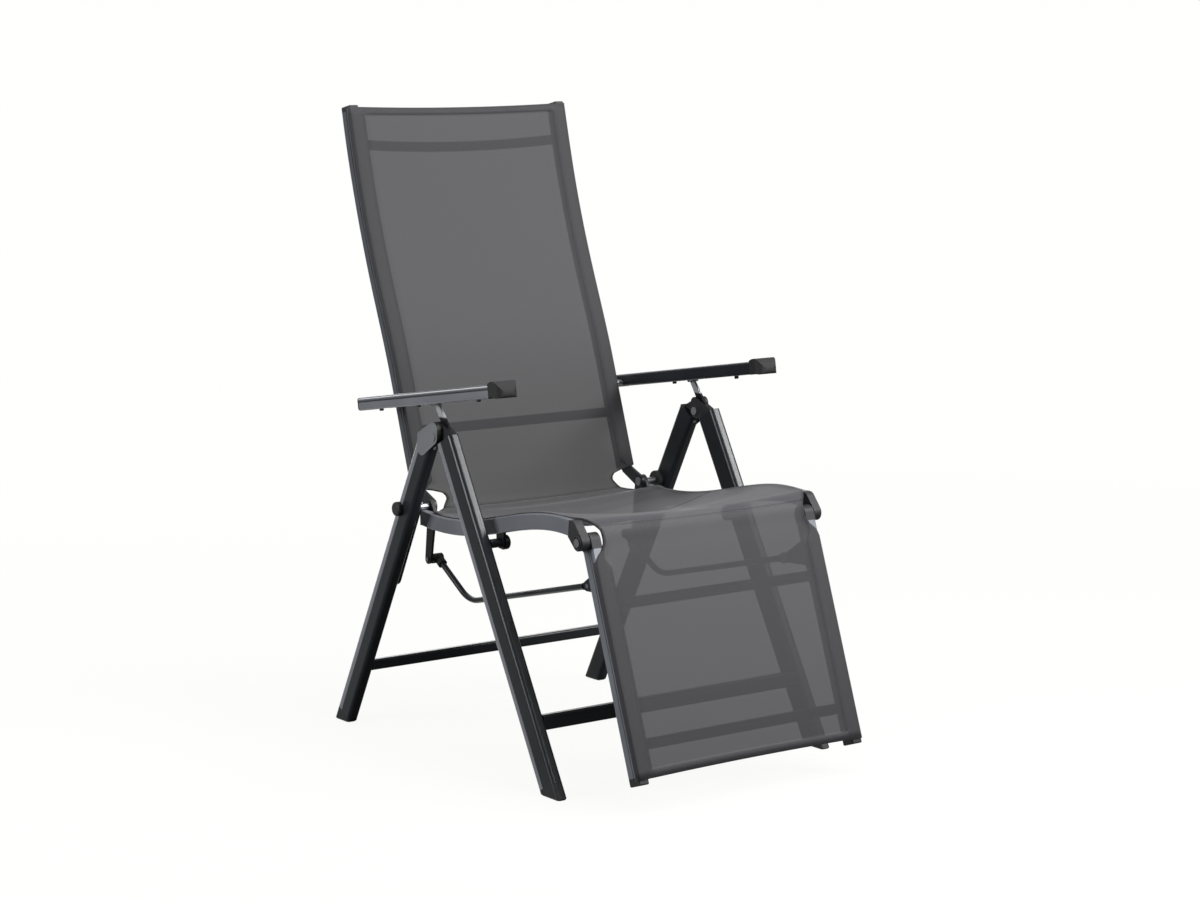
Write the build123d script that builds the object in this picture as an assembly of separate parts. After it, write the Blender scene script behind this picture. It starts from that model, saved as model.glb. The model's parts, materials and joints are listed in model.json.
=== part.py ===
from build123d import *
import math
import os

# Reclining garden armchair with a footrest: folding aluminium legs and a textile sling.
# X runs across the chair, the sitter faces -Y, Z is up from the floor. Millimetres.
# Side-view points are (y, z), with y counted from the tops of the legs.

# Layers across the chair, as distances from its middle plane
leg_centre_x = 290
leg_width = 22
seat_rail_centre_x = 251.5
seat_rail_width = 16
sling_rail_centre_x = 232
sling_rail_width = 20
rod_centre_x = 214
armrest_centre_x = 285
armrest_width = 46

# Tubes
tube_wall = 1.6
tube_corner = 2.5
leg_wall = 1.8
leg_corner = 7
front_leg_depth = 48
rear_leg_depth = 44
seat_rail_depth = 28
sling_rail_depth = 30
crossbar_radius = 9.5
crossbar_wall = 1.5

# Fits
fit_gap = 0.05
side_gap = 0.3
plug_gap = 0.1
overrun = 5

# Legs
apex_height = 627
front_foot_reach = 347.6
rear_foot_reach = 339.4
leg_top_cut = 60
leg_pivot_drop = 50
foot_height = 20
foot_round = 2.5
shield_thickness = 1.2
plug_depth = 28
leg_bar_height = 118
front_bar_setback = 13
rear_bar_setback = 12
front_bar_size = (15, 27)
rear_bar_size = (15, 20)
leg_bar_corner = 4

# Pins, lugs and plates
pin_radius = 4
stout_pin_radius = 5
lug_radius = 12.5
rivet_head_radius = 7.5
rivet_head_height = 2.5
rod_pin_head_radius = 10
rod_pin_head_height = 4
plate_thickness = 5
strut_thickness = 5

# Seat
seat_pivot_height = 404
seat_pivot_setback = 16.4
back_pivot = (112, 434)
knee_pivot = (-377, 437.5)
seat_rail_front = -351
seat_low = 410
seat_rise = 50
seat_curve_shares = ((1, 0.98), (0.86, 1), (0.69, 0.78), (0.47, 0.34), (0.28, 0.06), (0.14, 0), (0, 0.08))

# Back
back_start = (158, 455)
back_run = 225
back_height = 683
back_curve_shares = ((0, 0), (0.212, 0.21), (0.345, 0.34), (0.6, 0.555), (0.828, 0.776), (1, 1))
back_cap_height = 10
head_bar_drop = 60
head_bar_bow = 10
lumbar_bar_height = 560

# Footrest
footrest_length = 400
footrest_lean = 19.1
calf_bar_along = 111
toe_bar_along = 348
toe_cap_height = 14

# Footrest rods and the crank that drives them
crank_tip = (127, 333)
rod_front = (-350, 356)
rod_bend = (24, 269)
rod_radius = 5.5
rod_bend_radius = 70
rod_eye_radius = 9
rod_eye_thickness = 5.6
rod_eye_length = 20

# Swing links and lock knobs
link_foot_height = 299
link_foot_setback = 4.5
link_radius = 17
knob_radius = 13
knob_thickness = 10

# Armrests
arm_pivot_drop = 16
arm_tilt = 8.6
arm_lift = 5
arm_height = 24
arm_wall = 3
arm_corner = 5
arm_tail = 33
arm_rail_reach = 399
arm_tip_length = 30
arm_groove_width = 3
arm_groove_depth = 1.5
arm_groove_inset = 7
lock_pin_forward = 195
lock_pin_drop = 11.5
lock_pin_radius = 3.5
rack_pitch = 22
rack_tooth_depth = 5
rack_clearance = 2.3
rack_spare_pitches = 1

# Sling
fabric = 1.5
hem_fabric = 1.2
keder_offset = 8
groove_width = 2
groove_depth = 1
outer_groove_offset = 1.5
seat_sling_margin = 6
seat_sag = 34
seat_sag_shares = ((0, 0.3), (0.12, 0.5), (0.3, 0.9), (0.5, 1), (0.7, 0.85), (0.88, 0.5), (1, 0.3))
crease_gap = 36
knee_gap = 10
sling_gap = 0.1

curve_samples = 17
curve_halvings = 30


def unit(start, end):
    length = math.dist(start, end)
    return ((end[0] - start[0]) / length, (end[1] - start[1]) / length)


def ahead(start, direction, along, aside=0):
    # A side-view point reached by going along a direction, then to its left
    return (
        start[0] + direction[0] * along - direction[1] * aside,
        start[1] + direction[1] * along + direction[0] * aside,
    )


def turned(direction_degrees):
    angle = math.radians(direction_degrees)
    return (math.cos(angle), math.sin(angle))


def disc(centre, radius):
    return Pos(*centre) * Circle(radius)


def hull(*faces):
    edges = ShapeList()
    for face in faces:
        edges += face.edges()
    return make_hull(edges)


def place(x, point):
    # A side-view point in the chair's own frame
    return (x, point[0] + apex_y, point[1])


def slab(outline, centre_x, thickness):
    # A side-view outline given its thickness across the chair
    plane = Plane(origin=place(centre_x, (0, 0)), x_dir=(0, 1, 0), z_dir=(1, 0, 0))
    return extrude(plane * outline, amount=thickness / 2, both=True)


def layer(outline, inner_x, outer_x):
    return slab(outline, (inner_x + outer_x) / 2, outer_x - inner_x)


def pin(centre, radius, inner_x, outer_x):
    return layer(disc(centre, radius), inner_x, outer_x)


def pair(shape):
    return [shape, mirror(shape, about=Plane.YZ)]


def group(*shapes):
    return Compound(children=[solid for shape in shapes for solid in shape.solids()])


def tube_plane(start, direction, centre_x):
    return Plane(origin=place(centre_x, start), x_dir=(1, 0, 0), z_dir=(0, *direction))


def box_section(width, depth, corner, shrink=0):
    return RectangleRounded(width - 2 * shrink, depth - 2 * shrink, max(corner - shrink, corner / 4))


def box_tube(start, direction, centre_x, length, width, depth, corner, wall):
    section = box_section(width, depth, corner) - box_section(width, depth, corner, wall)
    return extrude(tube_plane(start, direction, centre_x) * section, amount=length)


def box_bar(start, direction, centre_x, length, width, depth, corner, shrink=0):
    section = box_section(width, depth, corner, shrink)
    return extrude(tube_plane(start, direction, centre_x) * section, amount=length)


def share_curve(start, run, rise, shares):
    return Spline([(start[0] + run * along, start[1] + rise * up) for along, up in shares])


def beside(curve, offset, share):
    # The point at a share of a curve's length, moved to the curve's left
    point, heading = curve @ share, curve % share
    return (point.X - heading.Y * offset, point.Y + heading.X * offset)


def band(curve, low, high, first=0, last=1):
    # The strip between two offsets of a curve
    shares = [first + (last - first) * step / (curve_samples - 1) for step in range(curve_samples)]
    right = Spline([beside(curve, low, share) for share in shares])
    left = Spline([beside(curve, high, share) for share in shares])
    ends = [Line(right @ 0, left @ 0), Line(right @ 1, left @ 1)]
    return make_face([right, left, *ends])


def curve_share(curve, height):
    # The share of an upright curve's length at which it reaches a height
    low, high = 0.0, 1.0
    for _ in range(curve_halvings):
        middle = (low + high) / 2
        if (curve @ middle).Y < height:
            low = middle
        else:
            high = middle
    return low


def soften(solid, radius, shortest):
    return fillet([edge for edge in solid.edges() if edge.length > shortest], radius)


def bent_tube(curve, centre_x, width, depth, sling_rail=False):
    outer = soften(slab(band(curve, -depth / 2, depth / 2), centre_x, width), tube_corner, 2 * depth)
    inner = slab(band(curve, tube_wall - depth / 2, depth / 2 - tube_wall), centre_x, width - 2 * tube_wall)
    tube = outer - inner
    if sling_rail:
        outer_face = centre_x + width / 2
        for offset in (outer_groove_offset, keder_offset - groove_width / 2):
            strip = band(curve, offset - groove_width / 2, offset + groove_width / 2)
            tube -= slab(strip, outer_face, 2 * groove_depth)
    return tube


def crossbar(point, half_span, bow=0):
    # A round tube between two rails, bowed back and down in its middle
    if bow:
        reach = half_span + crossbar_radius
        middle = place(0, (point[0] + bow, point[1] - bow))
        path = ThreePointArc(place(-reach, point), middle, place(reach, point))
    else:
        path = Line(place(-half_span, point), place(half_span, point))
    section = Plane(origin=path @ 0, z_dir=path % 0) * (
        Circle(crossbar_radius) - Circle(crossbar_radius - crossbar_wall)
    )
    tube = sweep(section, path=path)
    between = slab(disc(point, bow + 2 * crossbar_radius), 0, 2 * half_span)
    return tube & between if bow else tube


# The origin is in the middle of the footprint, between the toe caps and the back caps
toe_lean = math.radians(footrest_lean)
toe_reach = (
    (footrest_length + toe_cap_height - tube_corner) * math.sin(toe_lean)
    + (sling_rail_depth / 2 - tube_corner) * math.cos(toe_lean)
    + tube_corner
)
head_heading = share_curve((0, 0), back_run, back_height, back_curve_shares) % 1
head_reach = (
    back_run
    + (back_cap_height - tube_corner) * head_heading.X
    + (sling_rail_depth / 2 - tube_corner) * head_heading.Y
    + tube_corner
)
apex_y = -(knee_pivot[0] - toe_reach + back_start[0] + head_reach) / 2

# Places worked out from the sizes above
apex = (0, apex_height)
front_down = unit(apex, (-front_foot_reach, 0))
rear_down = unit(apex, (rear_foot_reach, 0))
leg_pivot = (0, apex_height - leg_pivot_drop)
leg_inner_x = leg_centre_x - leg_width / 2
leg_outer_x = leg_centre_x + leg_width / 2
seat_rail_inner_x = seat_rail_centre_x - seat_rail_width / 2
seat_rail_outer_x = seat_rail_centre_x + seat_rail_width / 2
sling_rail_inner_x = sling_rail_centre_x - sling_rail_width / 2
sling_rail_outer_x = sling_rail_centre_x + sling_rail_width / 2
link_inner_x = leg_inner_x - side_gap - 2 * plate_thickness
rod_clip_outer_x = rod_centre_x + 2 * sling_rail_width / 3
back_curve = share_curve(back_start, back_run, back_height, back_curve_shares)
seat_curve = share_curve(
    (back_pivot[0], seat_low), seat_rail_front - back_pivot[0], seat_rise, seat_curve_shares
)
seat_pivot = (
    -front_foot_reach * (1 - seat_pivot_height / apex_height) - seat_pivot_setback,
    seat_pivot_height,
)
link_foot = (
    rear_foot_reach * (1 - link_foot_height / apex_height) + link_foot_setback,
    link_foot_height,
)
arm_pivot = beside(back_curve, 0, curve_share(back_curve, apex_height - arm_pivot_drop))
footrest_down = turned(-90 - footrest_lean)
footrest_toe = ahead(knee_pivot, footrest_down, footrest_length)
arm_forward = turned(180 - arm_tilt)
arm_middle = ahead(arm_pivot, arm_forward, 0, -arm_lift)
lock_pin_along = lock_pin_forward / math.cos(math.radians(arm_tilt))
lock_pin_place = ahead(arm_middle, arm_forward, lock_pin_along, lock_pin_drop)

parts = {}


def keep(name, *shapes):
    parts[name] = shapes[0] if len(shapes) == 1 else group(*shapes)


def keep_sides(name, shape):
    keep(name + "_left", shape)
    keep(name + "_right", mirror(shape, about=Plane.YZ))


def leg(down, depth, foot_reach):
    # A leg tube with its foot, cut flat on the floor
    leg_length = math.dist(apex, (foot_reach, 0))
    tube_end = leg_length - foot_height
    tube_start = ahead(apex, down, leg_top_cut)
    tube = box_tube(
        tube_start, down, leg_centre_x, tube_end - leg_top_cut, leg_width, depth, leg_corner, leg_wall
    )
    boot_start = ahead(apex, down, tube_end)
    boot = box_bar(boot_start, down, leg_centre_x, foot_height + depth, leg_width, depth, leg_corner)
    tongue_start = ahead(apex, down, tube_end - plug_depth)
    tongue = box_bar(
        tongue_start, down, leg_centre_x, plug_depth, leg_width, depth, leg_corner, leg_wall + plug_gap
    )
    foot = split(boot, bisect_by=Plane.XY, keep=Keep.TOP)
    sole_edges = foot.faces().sort_by(Axis.Z)[0].edges()
    foot = chamfer(sole_edges, foot_round) + tongue
    return tube, foot


def leg_cap(down, depth, inner_x, outer_x):
    # The plastic hinge end in the top of a leg: a plug and a half-width lug round the pivot
    plug_start = ahead(apex, down, leg_top_cut)
    plug = box_bar(
        plug_start, down, leg_centre_x, plug_depth, leg_width, depth, leg_corner, leg_wall + plug_gap
    )
    shoulder = leg_corner
    outer_side = math.copysign(depth / 2 - shoulder, down[0])
    lug_outline = hull(
        disc(leg_pivot, lug_radius),
        disc(ahead(leg_pivot, (0, 1), 2 * shoulder), lug_radius),
        disc(ahead(plug_start, down, shoulder), shoulder),
        disc(ahead(plug_start, down, shoulder, outer_side), shoulder),
    )
    lug = layer(lug_outline, inner_x, outer_x)
    tube_space = box_bar(
        plug_start, down, leg_centre_x, 3 * shoulder, 2 * leg_width, 2 * depth, leg_corner
    )
    cap = (lug - tube_space) + plug
    if outer_x == leg_outer_x:
        shield_foot = ahead(plug_start, down, depth / 2)
        shield_outline = hull(lug_outline, disc(shield_foot, depth / 3))
        cap += layer(shield_outline, leg_outer_x, leg_outer_x + shield_thickness)
    return cap - pin(leg_pivot, pin_radius + fit_gap, leg_inner_x - overrun, leg_outer_x + overrun)


def make_legs():
    front_tube, front_foot = leg(front_down, front_leg_depth, -front_foot_reach)
    rear_tube, rear_foot = leg(rear_down, rear_leg_depth, rear_foot_reach)

    pivot_stub = pin(seat_pivot, stout_pin_radius, seat_rail_centre_x, leg_outer_x - leg_wall)
    front_tube -= pivot_stub
    link_stub = pin(link_foot, pin_radius, link_inner_x - side_gap, leg_outer_x - leg_wall)
    rear_tube -= link_stub
    keep_sides("front_leg", front_tube)
    keep_sides("rear_leg", rear_tube)
    keep_sides("front_foot", front_foot)
    keep_sides("rear_foot", rear_foot)

    strut_outline = hull(
        disc(ahead(apex, front_down, leg_top_cut - plug_depth / 2), lug_radius - pin_radius),
        disc(lock_pin_place, lock_pin_radius + tube_wall),
    )
    strut_inner_x = leg_inner_x + strut_thickness / 2
    strut = layer(strut_outline, strut_inner_x, strut_inner_x + strut_thickness)
    lock_pin = pin(
        lock_pin_place, lock_pin_radius, leg_inner_x - side_gap - pin_radius, leg_outer_x - strut_thickness
    )
    front_cap = leg_cap(front_down, front_leg_depth, leg_inner_x, leg_centre_x - side_gap) - strut
    rear_cap = leg_cap(rear_down, rear_leg_depth, leg_centre_x + side_gap, leg_outer_x)
    keep_sides("lock_strut", strut - lock_pin)
    keep("front_leg_caps", *pair(front_cap))
    keep("rear_leg_caps", *pair(rear_cap))
    keep("lock_pins", *pair(lock_pin))

    shield_x = leg_outer_x + shield_thickness
    hinge_pin = pin(leg_pivot, pin_radius, leg_inner_x - side_gap, shield_x + side_gap)
    for inner_x, outer_x in (
        (leg_inner_x - side_gap - rivet_head_height, leg_inner_x - side_gap),
        (shield_x + side_gap, shield_x + side_gap + rivet_head_height / 2),
    ):
        hinge_pin += pin(leg_pivot, rivet_head_radius, inner_x, outer_x)
    keep("leg_hinge_pins", *pair(hinge_pin))

    front_bar_place = (
        -front_foot_reach * (1 - leg_bar_height / apex_height) - front_bar_setback,
        leg_bar_height,
    )
    rear_bar_place = (
        rear_foot_reach * (1 - leg_bar_height / apex_height) - rear_bar_setback,
        leg_bar_height,
    )
    for name, middle, size in (
        ("front_leg_crossbar", front_bar_place, front_bar_size),
        ("rear_leg_crossbar", rear_bar_place, rear_bar_size),
    ):
        section = RectangleRounded(*size, leg_bar_corner) - RectangleRounded(
            size[0] - 2 * crossbar_wall, size[1] - 2 * crossbar_wall, leg_bar_corner - crossbar_wall
        )
        plane = Plane(origin=place(-leg_inner_x, middle), x_dir=(0, 1, 0), z_dir=(1, 0, 0))
        keep(name, extrude(plane * section, amount=2 * leg_inner_x))


def make_leg_fittings():
    # The pivot studs that carry the seat, with their spacers and round knobs
    tab_outer_x = seat_rail_centre_x + plate_thickness
    stud = pin(seat_pivot, stout_pin_radius, seat_rail_centre_x - side_gap, leg_outer_x - leg_wall)
    stud += pin(seat_pivot, 2 * pin_radius, tab_outer_x + side_gap, leg_inner_x)
    knob_inner_x = seat_rail_centre_x - side_gap - knob_thickness
    knob = pin(seat_pivot, knob_radius, knob_inner_x, seat_rail_centre_x - side_gap)
    rim = knob.edges().filter_by(GeomType.CIRCLE).sort_by(Axis.X)[0]
    stud += fillet(rim, knob_thickness / 4)
    keep("seat_pivot_studs", *pair(stud))

    # Swing links between the rear legs and the back hinge, their rivets and the lock knobs
    link_outer_x = leg_inner_x - side_gap
    link_outline = hull(disc(link_foot, link_radius), disc(back_pivot, link_radius))
    link = layer(link_outline, link_inner_x, link_outer_x)
    link = fillet(link.faces().sort_by(Axis.X)[0].edges(), plate_thickness / 4)
    link -= pin(link_foot, pin_radius + fit_gap, link_inner_x - overrun, link_outer_x + overrun)
    keep_sides("swing_link", link)
    rivet = pin(link_foot, pin_radius, link_inner_x - side_gap, leg_outer_x - leg_wall)
    rivet += pin(
        link_foot, rivet_head_radius, link_inner_x - side_gap - rivet_head_height, link_inner_x - side_gap
    )
    keep("link_rivets", *pair(rivet))

    leg_axis_share = (apex_height - back_pivot[1]) / apex_height
    knob_place = (rear_foot_reach * leg_axis_share + knob_radius, back_pivot[1])
    lock_knob = pin(knob_place, knob_radius, leg_outer_x, leg_outer_x + knob_thickness)
    lock_knob = fillet(lock_knob.faces().sort_by(Axis.X)[-1].edges(), knob_thickness / 3)
    keep("lock_knobs", *pair(lock_knob))


def make_seat():
    rail = bent_tube(seat_curve, seat_rail_centre_x, seat_rail_width, seat_rail_depth)
    solid_rail = slab(
        band(seat_curve, -seat_rail_depth / 2, seat_rail_depth / 2), seat_rail_centre_x, seat_rail_width
    )
    keep_sides("seat_rail", rail)

    inside = tube_wall + plug_gap
    plug_share = plug_depth / seat_curve.length
    plug_width = seat_rail_width - 2 * inside
    half_plug = seat_rail_depth / 2 - inside

    # Plastic nose on the front end, which curves down to the knee hinge
    nose_plug = slab(
        band(seat_curve, -half_plug, half_plug, 0, plug_share), seat_rail_centre_x, plug_width
    )
    corners = [beside(seat_curve, side * seat_rail_depth / 2, 0) for side in (1, -1)]
    crown_radius = seat_rail_depth / 2 + pin_radius / 2
    crown = (seat_rail_front - crown_radius / 2, corners[0][1] - crown_radius)
    nose_outline = hull(
        Line(*corners), disc(crown, crown_radius), disc(knee_pivot, lug_radius + pin_radius / 2)
    )
    nose = slab(nose_outline, seat_rail_centre_x, seat_rail_width)
    nose = nose - solid_rail + nose_plug
    nose -= pin(knee_pivot, pin_radius + fit_gap, sling_rail_centre_x, seat_rail_outer_x + overrun)
    keep_sides("seat_nose", nose)

    # Rear end fitting with the hinge lug on its inner side
    rear_plug = slab(
        band(seat_curve, -half_plug, half_plug, 1 - plug_share, 1), seat_rail_centre_x, plug_width
    )
    rear_point = seat_curve @ 1
    cover = Pos(rear_point.X + plate_thickness / 4, rear_point.Y) * Rectangle(
        plate_thickness / 2, seat_rail_depth
    )
    fitting = slab(cover, seat_rail_centre_x, seat_rail_width) + rear_plug
    lug_inner_x = sling_rail_centre_x + plate_thickness - side_gap
    lug_outline = hull(
        disc(back_pivot, lug_radius),
        disc((rear_point.X - lug_radius, rear_point.Y), seat_rail_depth / 2 - tube_wall),
        Pos(rear_point.X, rear_point.Y) * Rectangle(plate_thickness, seat_rail_depth / 2),
    )
    fitting += layer(lug_outline, lug_inner_x, seat_rail_inner_x)
    fitting -= pin(back_pivot, pin_radius + fit_gap, sling_rail_inner_x, leg_inner_x)
    keep("seat_hinge_fittings", *pair(fitting - solid_rail + rear_plug))

    # Tab under the rail that turns on the pivot stud
    tab_top = seat_pivot[1] + seat_rail_depth
    tab_outline = hull(
        disc(seat_pivot, lug_radius - pin_radius / 2),
        Pos(seat_pivot[0], tab_top) * Rectangle(2 * lug_radius, plate_thickness),
    )
    tab = layer(tab_outline, seat_rail_centre_x, seat_rail_centre_x + plate_thickness)
    tab -= solid_rail
    tab = tab.solids().sort_by(Axis.Z)[0]
    tab -= pin(seat_pivot, stout_pin_radius + fit_gap, sling_rail_inner_x, leg_inner_x)
    keep("seat_tabs", *pair(tab))

    # Pins that join the seat to the back
    plate_inner_x = sling_rail_centre_x - side_gap
    hinge_pin = pin(back_pivot, pin_radius, plate_inner_x - side_gap, link_inner_x - side_gap)
    hinge_pin += pin(
        back_pivot,
        2 * pin_radius,
        plate_inner_x - side_gap - rivet_head_height,
        plate_inner_x - side_gap,
    )
    spacer_radius = pin_radius + tube_wall
    hinge_pin += pin(
        back_pivot, spacer_radius, seat_rail_inner_x + side_gap, link_inner_x - side_gap
    )
    keep("back_hinge_pins", *pair(hinge_pin))

    # Pins that join the seat to the footrest
    knee_pin = pin(
        knee_pivot, pin_radius, sling_rail_inner_x - side_gap, seat_rail_outer_x + side_gap
    )
    knee_pin += pin(
        knee_pivot,
        rivet_head_radius,
        seat_rail_outer_x + side_gap,
        seat_rail_outer_x + side_gap + rivet_head_height,
    )
    knee_pin += pin(
        knee_pivot,
        rivet_head_radius,
        sling_rail_inner_x - side_gap - rivet_head_height,
        sling_rail_inner_x - side_gap,
    )
    keep("knee_hinge_pins", *pair(knee_pin))


def sling_over(curve, half_width, first, last):
    # Fabric stretched over the sitting side of a pair of rails, tucked into their outer grooves
    front = sling_rail_depth / 2
    sheet = slab(band(curve, front + sling_gap, front + fabric, first, last), 0, 2 * half_width)
    side_hem = layer(
        band(curve, keder_offset, front + fabric, first, last), half_width, half_width + hem_fabric
    )
    return sheet + side_hem + mirror(side_hem, about=Plane.YZ)


def hinge_plate():
    # The crank that joins a back rail's lower end, the back hinge and a footrest rod
    inner_x = sling_rail_centre_x - side_gap
    outer_x = inner_x + plate_thickness - side_gap
    tongue_end = beside(back_curve, 0, 2 * plug_depth / back_curve.length)
    tongue_radius = sling_rail_depth / 2 - pin_radius
    hub = disc(back_pivot, lug_radius)
    plate = layer(hull(hub, disc(crank_tip, rod_eye_radius)), inner_x, outer_x)
    plate += layer(hull(hub, disc(back_start, tongue_radius)), inner_x, outer_x)
    plate += layer(hull(disc(back_start, tongue_radius), disc(tongue_end, tongue_radius)), inner_x, outer_x)
    plate -= pin(back_pivot, pin_radius + fit_gap, sling_rail_inner_x, leg_inner_x)
    rivet = pin(crank_tip, pin_radius, rod_clip_outer_x + side_gap, outer_x + rivet_head_height)
    return plate, rivet


def make_back():
    rail = bent_tube(back_curve, sling_rail_centre_x, sling_rail_width, sling_rail_depth, True)
    bolt_hole = pin(arm_pivot, pin_radius + fit_gap, sling_rail_inner_x - overrun, seat_rail_inner_x)
    plate, rivet = hinge_plate()
    keep_sides("hinge_plate", plate - rivet)
    keep("crank_rivets", *pair(rivet))
    keep_sides("back_rail", rail - bolt_hole - plate)

    # Rounded plastic caps on the upper ends
    inside = tube_wall + plug_gap
    top = back_curve @ 1
    heading = back_curve % 1
    up = (heading.X, heading.Y)
    cap = box_bar(
        (top.X, top.Y),
        up,
        sling_rail_centre_x,
        back_cap_height,
        sling_rail_width,
        sling_rail_depth,
        tube_corner,
    )
    cap = fillet(cap.faces().sort_by(Axis.Z)[-1].edges(), tube_corner)
    plug_share = plug_depth / back_curve.length
    half_plug = sling_rail_depth / 2 - inside - groove_depth
    cap += slab(
        band(back_curve, -half_plug, half_plug, 1 - plug_share, 1),
        sling_rail_centre_x - groove_depth / 2,
        sling_rail_width - 2 * inside - groove_depth,
    )
    keep("back_caps", *pair(cap))

    head_share = curve_share(back_curve, top.Y - head_bar_drop)
    lumbar_share = curve_share(back_curve, lumbar_bar_height)
    head_place = beside(back_curve, 0, head_share)
    keep("back_head_crossbar", crossbar(head_place, sling_rail_inner_x, head_bar_bow))
    keep("back_lumbar_crossbar", crossbar(beside(back_curve, 0, lumbar_share), sling_rail_inner_x))

    first = 2 * tube_corner / back_curve.length
    keep("back_sling", sling_over(back_curve, sling_rail_outer_x, first, 1))


def straight_strip(low, high, first, last):
    # The strip between two offsets of the footrest rail's centre line
    up = unit(footrest_toe, knee_pivot)
    corners = ((first, low), (last, low), (last, high), (first, high))
    return make_face(Polyline(*[ahead(footrest_toe, up, *corner) for corner in corners], close=True))


def make_footrest():
    length = footrest_length - sling_rail_depth / 2
    rail = box_tube(
        footrest_toe,
        unit(footrest_toe, knee_pivot),
        sling_rail_centre_x,
        length,
        sling_rail_width,
        sling_rail_depth,
        tube_corner,
        tube_wall,
    )
    for offset in (outer_groove_offset, keder_offset - groove_width / 2):
        strip = straight_strip(offset - groove_width / 2, offset + groove_width / 2, 0, length)
        rail -= slab(strip, sling_rail_outer_x, 2 * groove_depth)
    keep_sides("footrest_rail", rail)

    inside = tube_wall + plug_gap + groove_depth / 2
    up = unit(footrest_toe, knee_pivot)
    plug_width = sling_rail_width - 2 * inside - groove_depth
    plug_x = sling_rail_centre_x - groove_depth / 2
    rail_top = ahead(footrest_toe, up, length)
    plug_height = sling_rail_depth - 2 * inside
    half = sling_rail_depth / 2
    rail_mouth = Line(ahead(rail_top, up, 0, half), ahead(rail_top, up, 0, -half))
    knuckle_outline = hull(disc(knee_pivot, half), rail_mouth)
    knuckle = slab(knuckle_outline, sling_rail_centre_x, sling_rail_width)
    plug_start = ahead(rail_top, up, -plug_depth)
    knuckle += box_bar(plug_start, up, plug_x, plug_depth, plug_width, plug_height, tube_corner)
    knuckle -= pin(knee_pivot, pin_radius + fit_gap, rod_centre_x, seat_rail_outer_x)
    keep("footrest_knuckles", *pair(knuckle))

    toe = box_bar(
        footrest_toe,
        footrest_down,
        sling_rail_centre_x,
        toe_cap_height,
        sling_rail_width,
        sling_rail_depth,
        tube_corner,
    )
    toe = fillet(toe.faces().sort_by(Axis.Z)[0].edges(), tube_corner)
    toe += box_bar(footrest_toe, up, plug_x, plug_depth, plug_width, plug_height, tube_corner)
    keep("footrest_toe_caps", *pair(toe))

    for name, along in (("calf", calf_bar_along), ("toe", toe_bar_along)):
        middle = ahead(knee_pivot, footrest_down, along)
        keep("footrest_" + name + "_crossbar", crossbar(middle, sling_rail_inner_x))

    # Lugs that the rods push
    lug_outline = hull(
        disc(rod_front, rod_eye_radius),
        disc(ahead(knee_pivot, footrest_down, calf_bar_along / 2), sling_rail_depth / 3),
        disc(ahead(knee_pivot, footrest_down, calf_bar_along - 3 * crossbar_radius), sling_rail_depth / 3),
    )
    lug = layer(lug_outline, sling_rail_inner_x - plate_thickness, sling_rail_inner_x)
    lug -= pin(rod_front, pin_radius + fit_gap, rod_centre_x - overrun, sling_rail_centre_x)
    keep("footrest_lugs", *pair(lug))

    sheet_top = length - knee_gap
    front = half + fabric
    sheet = slab(straight_strip(half + sling_gap, front, 0, sheet_top), 0, 2 * sling_rail_outer_x)
    hem = layer(
        straight_strip(keder_offset, front, 0, sheet_top), sling_rail_outer_x, sling_rail_outer_x + hem_fabric
    )
    keep("footrest_sling", sheet + hem + mirror(hem, about=Plane.YZ))


def seat_sling_section(share, sag):
    # The sheet across one place of the seat: flat over the rails and bowed down between them
    half_width = seat_rail_outer_x - seat_sling_margin
    low = seat_rail_depth / 2 + sling_gap
    high = seat_rail_depth / 2 + fabric
    inner = seat_rail_inner_x - sling_gap
    lower = [
        Line((-half_width, -low), (-inner, -low)),
        ThreePointArc((-inner, -low), (0, sag - low), (inner, -low)),
        Line((inner, -low), (half_width, -low)),
    ]
    upper = [
        Line((half_width, -high), (inner, -high)),
        ThreePointArc((inner, -high), (0, sag - high), (-inner, -high)),
        Line((-inner, -high), (-half_width, -high)),
    ]
    sides = [
        Line((half_width, -low), (half_width, -high)),
        Line((-half_width, -high), (-half_width, -low)),
    ]
    heading = seat_curve % share
    plane = tube_plane(beside(seat_curve, 0, share), (heading.X, heading.Y), 0)
    return plane * make_face([*lower, *upper, *sides])


def make_seat_sling():
    # The fabric hangs slack between the seat rails, most in the middle
    last = 1 - crease_gap / seat_curve.length
    sections = []
    for step in range(curve_samples):
        along = step / (curve_samples - 1)
        for (start, low), (end, high) in zip(seat_sag_shares, seat_sag_shares[1:]):
            if start <= along <= end:
                sag_share = low + (high - low) * (along - start) / (end - start)
        sections.append(seat_sling_section(last * along, seat_sag * sag_share))
    keep("seat_sling", loft(sections))


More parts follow.
